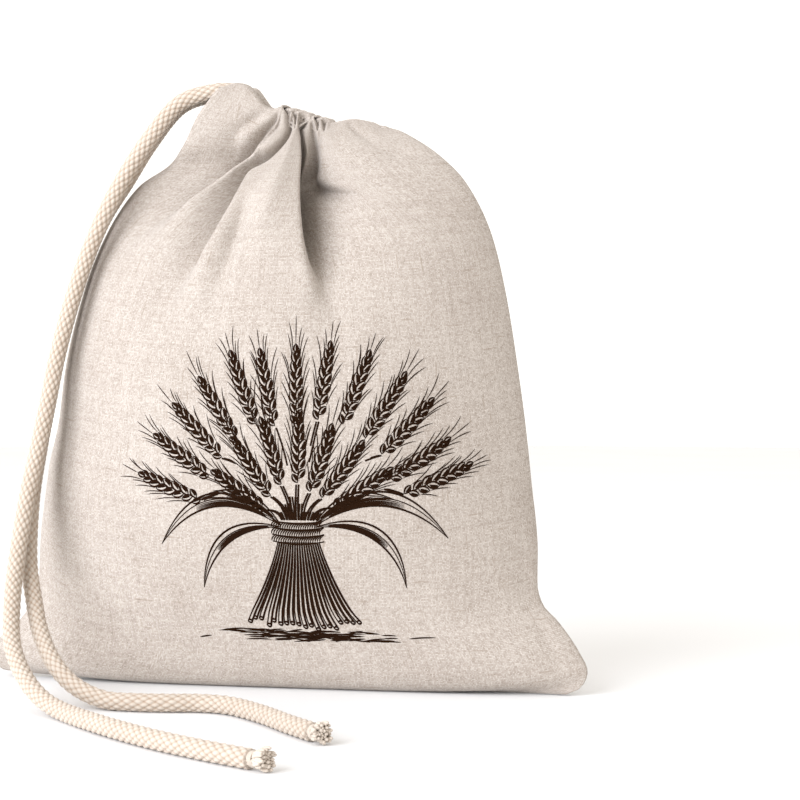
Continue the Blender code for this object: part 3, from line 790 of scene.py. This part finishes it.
def with_folded_top(points, side):
    """Adds rows that carry the top edge over the cord and down inside as the casing's inner layer."""
    turned = len(ROLL_STEPS)
    normal = grid_normal(points, side)
    normal[:, :turned], normal[:, -turned:] = normal[:, turned, None], normal[:, -turned - 1, None]
    edge, up = points[-1], unit(points[-1] - points[-3])
    room = (np.abs(TOP_ROLL_MIDDLE_Y - edge[:, 1]) - TOP_ROLL_APART) / 2
    over_cord = ramp(edge[:, 0], TOP_ROLL_FROM, TOP_ROLL_TO)
    radius = TOP_ROLL_THIN + over_cord * np.clip(room - TOP_ROLL_THIN, 0, TOP_ROLL_FULL - TOP_ROLL_THIN)
    from_end = np.arange(len(edge))
    from_end = np.minimum(from_end, from_end[::-1])
    radius = (radius * (0.2 + 0.8 * ramp(from_end, turned - 2, turned + 5)))[:, None]
    level = unit(normal[-1] * (1, 1, 0.3))
    lift = np.minimum(radius, 0.5 * radius + 0.35)
    arc = [edge + up * lift * np.sin(a) - level * radius * (1 - np.cos(a)) for a in TOP_ROLL_STEPS]
    inside = np.flatnonzero(HEIGHTS > PANEL_LENGTH - CASING_SHOWN)[-2::-1]
    below = PANEL_LENGTH - HEIGHTS[inside]
    closing = (1 - ramp(below, CASING_CLOSES_FROM, CASING_CLOSES_TO))[:, None, None]
    gap = TOP_ROLL_THIN + (radius - TOP_ROLL_THIN) * closing
    layer = points[inside] - (normal[inside] * (1 - closing) + level * closing) * 2 * gap
    return np.concatenate([points, arc, layer])


def closed_cloth(outer, side):
    """Both faces of the cloth and the band round its rim, as points and quads."""
    rows, columns = outer.shape[:2]
    inner = kept_above(outer - grid_normal(outer, side) * LINEN_THICKNESS, LINEN_OVER_TABLE)
    index = np.arange(rows * columns).reshape(rows, columns)
    corners = (index[:-1, :-1], index[:-1, 1:], index[1:, 1:], index[1:, :-1])
    face = np.stack(corners, axis=-1).reshape(-1, 4)
    rim = np.concatenate([index[0, :-1], index[:-1, -1], index[-1, :0:-1], index[:0:-1, 0]])
    following = np.roll(rim, -1)
    band = np.stack([rim, rim + index.size, following + index.size, following], axis=-1)
    points = np.concatenate([outer.reshape(-1, 3), inner.reshape(-1, 3)])
    faces = np.concatenate([face, face[:, ::-1] + index.size, band])
    return points, faces if side < 0 else faces[:, ::-1]


def weave_group():
    """Shade, height and slub of a plain weave, from a position on the cloth in metres.

    Threads are whole numbers of position / pitch, and they take turns to lie on top like the
    squares of a chessboard. Each has its own shade, which also drifts along it.
    """
    group, vector, end = new_group("plain weave", ("Shade", "Height", "Slub"))
    times, plus = partial(calc, group, "MULTIPLY"), partial(calc, group, "ADD")
    rightwards, upwards = first_two(group, vector)

    def cloudy(along, scale, across, seed, detail):
        place = node(group, "CombineXYZ", (times(along, scale), across, seed))
        return node(group, "TexNoise", (place, None, 1.0, detail, 0.5))

    def thread(along, across, seed):
        """The thread that passes a place: its number, the arch of its section, its shade, its slub."""
        place = calc(group, "DIVIDE", across, THREAD_PITCH * MM)
        number = calc(group, "ROUND", place)
        offset = calc(group, "SUBTRACT", place, number)
        arch = calc(group, "MULTIPLY_ADD", times(offset, offset), -4.0, 1.0)
        own = node(group, "TexWhiteNoise", (None, plus(number, seed)), noise_dimensions="1D")
        drift = cloudy(along, THREAD_DRIFT, times(number, 7.31), seed, 2.0)
        slub = cloudy(along, SLUB_ALONG, times(across, SLUB_ACROSS), seed, 1.0)
        return number, arch, plus(times(own, 0.1), times(drift, 0.9)), slub

    warp_number, warp_arch, warp_shade, warp_slub = thread(upwards, rightwards, 3.0)
    weft_number, weft_arch, weft_shade, weft_slub = thread(rightwards, upwards, 91.0)
    weft_on_top = calc(group, "FLOORED_MODULO", plus(warp_number, weft_number), 2.0)

    def on_top(warp, weft):
        return node(group, "Mix", (weft_on_top, None, warp, weft), data_type="FLOAT")

    def raised(over, under):
        return times(over, calc(group, "MULTIPLY_ADD", under, 0.5, 0.5))

    height = on_top(raised(warp_arch, weft_arch), raised(weft_arch, warp_arch))
    group.links.new(on_top(warp_shade, weft_shade), end.inputs["Shade"])
    group.links.new(height, end.inputs["Height"])
    group.links.new(calc(group, "MAXIMUM", warp_slub, weft_slub), end.inputs["Slub"])
    return group


def linen_colour(tree):
    """Colour and relief of undyed linen: thread tones, cloudiness, scattered slubs, painted weave shade."""
    coords = node(tree, "TexCoord", output="UV")
    weave = use_group(tree, plain_weave, coords)
    cloud = node(tree, "TexNoise", (coords, None, 28.0, 3.0, 0.55))
    level = calc(tree, "MULTIPLY_ADD", cloud, 0.2, weave["Shade"])
    # painted shade: the threads are darker where they dip between their crowns and under each other
    level = calc(tree, "MULTIPLY_ADD", weave["Height"], 0.24, level)
    spread = node(tree, "MapRange", (level, 0.5, 0.94, 0.0, 1.0))
    base = mixed(tree, spread, (*LINEN_DARK, 1), (*LINEN_LIGHT, 1))
    slub = node(tree, "MapRange", (weave["Slub"], 0.66, 0.80, 0.0, 0.5))
    colour = mixed(tree, slub, base, (*SLUB_COLOUR, 1))
    return colour, calc(tree, "MULTIPLY_ADD", weave["Slub"], 0.6, weave["Height"]), weave


def linen_material():
    """Undyed plain weave linen."""
    made, tree, shader = new_material("natural linen")
    colour, relief, _ = linen_colour(tree)
    set_fibre(tree, shader, colour, relief, 0.0002)
    return made


def linen_panel(node_name, outer, side):
    """A panel from its outer face; its UV is the place on the flat cloth."""
    cloth = with_folded_top(with_rolled_sides(outer, side), side)
    points, faces = closed_cloth(cloth, side)
    turned = PANEL_HALF_WIDTH + np.arange(1, len(ROLL_STEPS) + 1) * 0.4
    across = np.concatenate([-turned[::-1], COLUMNS * PANEL_HALF_WIDTH, turned])
    beyond = np.arange(1, len(cloth) - len(HEIGHTS) + 1)
    place = np.stack(np.meshgrid(across, np.concatenate([HEIGHTS, PANEL_LENGTH + beyond])), axis=-1)
    uv = np.concatenate([place.reshape(-1, 2)] * 2)[faces]
    made = add_piece(f"linen_{node_name}", points, faces, uv, linen)
    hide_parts(node_name)


plain_weave = weave_group()
linen = linen_material()
back_outer = folded_panel(1)
front_outer = folded_panel(-1, back_outer)
linen_panel("front_panel", front_outer, -1)
linen_panel("back_panel", back_outer, 1)


# --- Stitches ----------------------------------------------------------------------------------
# Linen thread in a lockstitch: it closes the casing right across both panels, and hems both edges
# of the slit that the cord comes out of.
STITCH_PITCH, STITCH_LENGTH, STITCH_RADIUS = 3.2, 2.3, 0.13
STITCH_LIFT = np.array([-0.2, -0.03, 0.04, 0.06, 0.04, -0.03, -0.2])  # over the cloth, along a stitch
# THREAD_SHADE is painted shade in the groove between the thread's two strands
THREAD_SHADE = (0.40, 0.35, 0.305)
STITCH_ROWS = (((-138.5, 268), (138.5, 268)), ((-136, 272), (-136, 313)))


def on_cloth(outer, place, lift, side):
    """Points this far above a panel's outer face, at places in millimetres across and up the cloth.

    Each blends the four corners of its grid cell, by its shares across and up the cell.
    """
    column = np.interp(place[..., 0], COLUMNS * PANEL_HALF_WIDTH, np.arange(len(COLUMNS)))
    row = np.interp(place[..., 1], HEIGHTS, np.arange(len(HEIGHTS)))
    left = np.minimum(column.astype(int), len(COLUMNS) - 2)
    below = np.minimum(row.astype(int), len(HEIGHTS) - 2)
    across, up = (column - left)[..., None], (row - below)[..., None]
    normal = grid_normal(outer, side)

    def blend(grid):
        lower = grid[below, left] * (1 - across) + grid[below, left + 1] * across
        upper = grid[below + 1, left] * (1 - across) + grid[below + 1, left + 1] * across
        return lower * (1 - up) + upper * up

    return blend(outer) + blend(normal) * np.asarray(lift)[..., None]


def stitches(name, outer, side):
    """Rows of short thick threads, each bowed up out of the cloth and down into it again."""
    lines = []
    for start, end in STITCH_ROWS:
        start, end = np.array(start, float), np.array(end, float)
        length = np.linalg.norm(end - start)
        middles = np.arange(STITCH_PITCH / 2, length, STITCH_PITCH)[:, None]
        reach = middles + np.linspace(-0.5, 0.5, len(STITCH_LIFT)) * STITCH_LENGTH
        lines.append(start + (end - start) * (reach / length)[..., None])
    lines = on_cloth(outer, np.concatenate(lines), STITCH_LIFT, side)
    radii = np.full(lines.shape[:2], STITCH_RADIUS)
    points, faces, uv = tubes(lines, radii, 6)
    made = add_piece(name, points, faces, uv, linen_thread)


def thread_material():
    """Linen thread of the cloth's own colours, twisted from two fine strands, with painted shade between
    them.
    """
    made, tree, shader = new_material("linen thread")
    round_it, along_it = first_two(tree, node(tree, "TexCoord", output="UV"))
    strand = ridges(tree, calc(tree, "MULTIPLY_ADD", along_it, 1800.0, round_it))
    # the strand stripes paint shade into the groove between the two strands
    set_fibre(tree, shader, mixed(tree, strand, (*THREAD_SHADE, 1), (*LINEN_LIGHT, 1)), strand, 0.0001)
    return made


linen_thread = thread_material()
stitches("front_stitches", front_outer, -1)
stitches("back_stitches", back_outer, 1)


# --- Printed wheat sheaf -----------------------------------------------------------------------
# Dark brown ink, screen printed on the front panel: a tied sheaf of wheat drawn in pen strokes.
# Every stroke is a thin tapered layer of ink on the cloth. Places are across and up the flat cloth,
# heights of the sheaf's parts are from its tie, and angles are clockwise from straight up.
TIE = np.array([20.0, 88.0])
INK = (0.014, 0.005, 0.0015)
INK_HEIGHTS = (0.04, 0.12, 0.12, 0.04)  # over the cloth, at the corners of a stroke's section
OUTLINE, HATCH, BEARD = 0.92, 0.52, 0.46  # widths of strokes
# Ears | half angle of the fan | distance of their roots from the tie | length; the wide fan first
EAR_FANS = ((13, 1.30, 50.0, 33.0), (7, 1.02, 20.0, 29.0))
GRAINS, GRAIN_LENGTH, GRAIN_FULLNESS = 14, 6.6, 0.23
EAR_HALF_WIDTH = 5.2
STALKS, STALK_FLARE, STALK_FOOT = 19, 2.9, -44.0
STALK_HALF_WIDTH, TIE_HALF_WIDTH = 0.6, 12.5
LEAVES = (  # side | angle | length | bend
    (-1, 1.75, 62, 0.22), (-1, 2.2, 50, 0.18), (-1, 1.35, 44, 0.14),
    (1, 1.7, 64, 0.2), (1, 2.15, 52, 0.2), (1, 1.3, 40, 0.12),
)
GROUND_STROKES = 90

chance = np.random.default_rng(12)
strokes = []


def towards(angle, length):
    """The place this far away at an angle from straight up."""
    return np.stack([np.sin(angle) * length, np.cos(angle) * length], axis=-1)


def arcs(starts, ends, sag, points=7):
    """Shallow arcs from starts to ends, whose middles stand to the left by a share of their length."""
    t = np.linspace(0, 1, points)[:, None]
    starts, ends, sag = np.asarray(starts), np.asarray(ends), np.asarray(sag)
    chord = (ends - starts)[..., None, :]
    to_left = chord[..., ::-1] * (-1, 1)
    return starts[..., None, :] + t * chord + 4 * t * (1 - t) * sag[..., None, None] * to_left


def draw(lines, width, blunt=0.15):
    """Adds strokes that swell from blunt * width at their ends to the full width in the middle."""
    t = np.linspace(0, 1, lines.shape[-2])
    swell = np.sqrt(np.clip(4 * t * (1 - t), blunt**2, 1))
    strokes.append((lines.reshape(-1, *lines.shape[-2:]), width * swell))


def in_the_open(lines, starts, ends, reach):
    """The lines that stay further than the reach from all the axes from starts to ends."""
    axis, away = ends - starts, lines[:, :, None] - starts
    share = np.clip((away * axis).sum(-1) / (axis**2).sum(-1), 0, 1)
    distance = np.linalg.norm(away - share[..., None] * axis, axis=-1)
    return lines[distance.min(axis=(1, 2)) > reach]


def draw_ear(root, angle, length):
    """Two rows of almond shaped grains, each with a crease, hatching on its right and a beard."""
    share = (np.arange(GRAINS + 1) + 0.4) / (GRAINS + 0.4)
    side = np.where(np.arange(GRAINS + 1) % 2, 1, -1) * (share < 0.99)
    lean = angle + side * (0.62 - 0.3 * share) + chance.normal(0, 0.04, GRAINS + 1)
    size = GRAIN_LENGTH * (0.72 + 0.3 * np.sin(np.pi * share))
    start = root + towards(angle, length * share)
    end = start + towards(lean, size)
    for sag in (GRAIN_FULLNESS, -GRAIN_FULLNESS):
        draw(arcs(start, end, sag), OUTLINE, 0.3)
    inner_start, inner_end = start + 0.22 * (end - start), start + 0.86 * (end - start)
    for sag in (-0.03, -0.11, -0.18, -0.25):
        draw(arcs(inner_start, inner_end, sag), HATCH)
    beard = angle + (lean - angle) * chance.uniform(0.35, 0.75, GRAINS + 1)
    tip = end + towards(beard, chance.uniform(8, 15, GRAINS + 1))
    draw(arcs(end, tip, side * 0.05), BEARD)


def draw_stalk(starts, ends, sag, in_front):
    """Long arcs drawn as joined short strokes, leaving out those behind the ears in front of them."""
    lines = arcs(starts, ends, sag, 25)
    pieces = np.stack([lines[:, 0:-2:2], lines[:, 1:-1:2], lines[:, 2::2]], axis=2).reshape(-1, 3, 2)
    if in_front is not None:
        pieces = in_the_open(pieces, *in_front, EAR_HALF_WIDTH)
    draw(pieces, OUTLINE, 0.9)


def draw_fans():
    """Two fans of ears, a small one in front of a wide one, with their stalks up from the tie."""
    fans = []
    for ears, half_angle, root_distance, length in EAR_FANS:
        angle = np.linspace(-half_angle, half_angle, ears) + chance.normal(0, 0.015, ears)
        root = TIE + towards(angle, root_distance + chance.uniform(-3, 3, ears))
        fans.append((angle, root, root + towards(angle, length)))
        for ear_root, ear_angle in zip(root, angle):
            draw_ear(ear_root, ear_angle, length)
    for (angle, root, _), in_front in zip(fans, (fans[1][1:], None)):
        for edge in (-STALK_HALF_WIDTH, STALK_HALF_WIDTH):
            waist = TIE + np.stack([angle * 6.5 + edge, np.full(len(angle), 5.0)], axis=-1)
            draw_stalk(waist, root + (edge, 0), 0.16 * angle, in_front)


def draw_foot():
    """Stalks below the tie, shaded on the right, with round cut ends."""
    place = np.linspace(-1, 1, STALKS)
    low = STALK_FOOT + 3 * place**2 + chance.uniform(-1.5, 1.5, STALKS)
    foot = TIE + np.stack([place * STALKS * STALK_FLARE / 2, low], axis=-1)
    waist = TIE + np.stack([place * 9.5, np.full(STALKS, -5.0)], axis=-1)
    for edge, width in ((-1.1, OUTLINE), (1.1, OUTLINE), (0.5, HATCH), (0.85, HATCH)):
        draw(arcs(waist + (edge * 0.4, 0), foot + (edge, 0), -0.05 * place, 13), width, 0.6)
    for sag in (0.3, -0.3):
        draw(arcs(foot - (1.2, 0), foot + (1.2, 0), sag), OUTLINE, 0.5)


def draw_tie():
    """Three turns of twisted cord round the stalks."""
    for height in (-3.2, 0.0, 3.2):
        for edge in (-1.5, 1.5):
            ends = (TIE + (across, height + edge) for across in (-TIE_HALF_WIDTH, TIE_HALF_WIDTH))
            draw(arcs(*ends, -0.05, 13), OUTLINE, 0.6)
        slant = np.arange(-12, 12.1, 1.1)[:, None] * (1, 0) + TIE
        dip = -1.25 * (1 - ((slant[:, 0] - TIE[0]) / TIE_HALF_WIDTH) ** 2)[:, None] * (0, 1)
        low, high = slant + dip + (-0.9, height - 1.3), slant + dip + (0.9, height + 1.3)
        draw(arcs(low, high, 0.18), HATCH * 1.2)


def draw_leaves():
    """Long leaves that hang out at both sides, hatched along their lower edge."""
    for side, angle, length, bend in LEAVES:
        start = TIE + (side * 8.0, 4.0 - angle)
        tip = start + towards(side * angle, length)
        for extra, width in ((0.0, OUTLINE), (0.1, OUTLINE), (0.055, HATCH)):
            draw(arcs(start, tip, side * (bend + extra), 21), width, 0.3)
        for extra in (0.008, 0.016, 0.024, 0.032, 0.042):
            draw(arcs(start, tip, side * (bend + extra), 21)[2:14], HATCH)


def draw_ground():
    """Short level strokes under the sheaf."""
    across, low = chance.normal(0, 19, GROUND_STROKES), chance.uniform(0, 5, GROUND_STROKES)
    middle = TIE + np.stack([across, STALK_FOOT - 2 - low], axis=-1)
    reach = np.stack([chance.uniform(3, 8, GROUND_STROKES), chance.normal(0, 0.4, GROUND_STROKES)], axis=-1)
    draw(arcs(middle - reach, middle + reach, 0.02), HATCH * 1.3)


draw_fans()
draw_foot()
draw_tie()
draw_leaves()
draw_ground()


def ink_layer():
    """All strokes as closed ribbons whose four corners are carried round with the line's direction."""
    points, faces, uv, count = [], [], [], 0
    for lines, width in strokes:
        ahead = np.gradient(lines, axis=1)
        right = ahead[..., ::-1] * (1, -1) / np.linalg.norm(ahead, axis=-1, keepdims=True)
        offset = np.array([0.5, 0.5, -0.5, -0.5])[:, None] * width[:, None, None]
        place = lines[:, :, None] + right[:, :, None] * offset
        section = on_cloth(front_outer, place, np.broadcast_to(INK_HEIGHTS, place.shape[:3]), -1)
        one = tube_faces(lines.shape[1], 4)
        every = (one + np.arange(len(lines))[:, None, None] * lines.shape[1] * 4).reshape(-1, 4)
        points.append(section.reshape(-1, 3))
        uv.append(place.reshape(-1, 2)[every])
        faces.append(every + count)
        count += len(points[-1])
    points, faces, uv = (np.concatenate(parts) for parts in (points, faces, uv))
    made = add_piece("printed_wheat", points, faces, uv, ink)


def ink_material():
    """Ink over the linen's colour and painted weave shade, thinner in the gaps between the threads."""
    made, tree, shader = new_material("dark brown ink")
    colour, relief, weave = linen_colour(tree)
    cover = node(tree, "MapRange", (weave["Height"], -0.1, 0.3, 0.95, 1.0))
    set_fibre(tree, shader, mixed(tree, cover, colour, (*INK, 1)), relief, 0.00015)
    shader.inputs["Specular IOR Level"].default_value = 0.03
    shader.inputs["Sheen Weight"].default_value = 0.0
    return made


ink = ink_material()
ink_layer()


# --- Table and light ---------------------------------------------------------------------------
# A plain white table under a white sky of soft light, with one large round lamp in front of the bag,
# at its left and above it.
FLOOR_RADIUS, FLOOR_SIDES = 3000, 96
SKY_STRENGTH, SKY_SEEN = 1.24, 1.25  # as light, and as a plain background
FLOOR_BRIGHTNESS, FLOOR_SEEN = 0.9, 0.76  # as light thrown back on the bag, and as seen
SKY_COLOUR, LAMP_COLOUR = (1.0, 0.97, 0.932), (0.935, 0.985, 1.08)
LAMP_SIZE, LAMP_POWER = 2.4, 88.0
LAMP_PLACE, LAMP_TARGET = (-1.25, -1.75, 0.8), (0.0, -0.02, 0.12)

turn = np.linspace(0, 2 * np.pi, FLOOR_SIDES, endpoint=False)
floor_rim = np.stack([np.cos(turn), np.sin(turn), np.zeros(FLOOR_SIDES)], axis=-1) * FLOOR_RADIUS * MM
floor_mesh = bpy.data.meshes.new("floor")
floor_mesh.from_pydata(floor_rim.tolist(), [], [list(range(FLOOR_SIDES))])
floor = new_object("floor", floor_mesh)
white, white_tree, white_shader = new_material("white table")
floor_place = node(white_tree, "TexCoord", output="Object")
mottle = node(white_tree, "TexNoise", (floor_place, None, 6.0, 2.0, 0.5))
gloss = node(white_tree, "MapRange", (mottle, 0.3, 0.7, 0.45, 0.6))
white_tree.links.new(gloss, white_shader.inputs["Roughness"])
seen = node(white_tree, "LightPath", output="Is Camera Ray")
whiteness = node(white_tree, "MapRange", (seen, 0.0, 1.0, FLOOR_BRIGHTNESS, FLOOR_SEEN))
white_tree.links.new(whiteness, white_shader.inputs["Base Color"])
floor_mesh.materials.append(white)

world = bpy.data.worlds.new("soft sky")
world.use_nodes = True
sky = world.node_tree.nodes["Background"]
sky.inputs["Color"].default_value = (*SKY_COLOUR, 1)
seen = node(world.node_tree, "LightPath", output="Is Camera Ray")
brightness = node(world.node_tree, "MapRange", (seen, 0.0, 1.0, SKY_STRENGTH, SKY_SEEN))
world.node_tree.links.new(brightness, sky.inputs["Strength"])
bpy.context.scene.world = world

lamp = new_object("lamp", bpy.data.lights.new("lamp", "AREA"))
lamp.data.shape = "DISK"
lamp.data.size = LAMP_SIZE
lamp.data.energy = LAMP_POWER
lamp.data.color = LAMP_COLOUR
lamp.location = LAMP_PLACE
aim = np.array(LAMP_TARGET) - LAMP_PLACE
lamp.rotation_euler = (
    np.arctan2(np.hypot(aim[0], aim[1]), -aim[2]), 0, np.arctan2(aim[1], aim[0]) - np.pi / 2,
)
bpy.context.scene.view_settings.view_transform = "Standard"
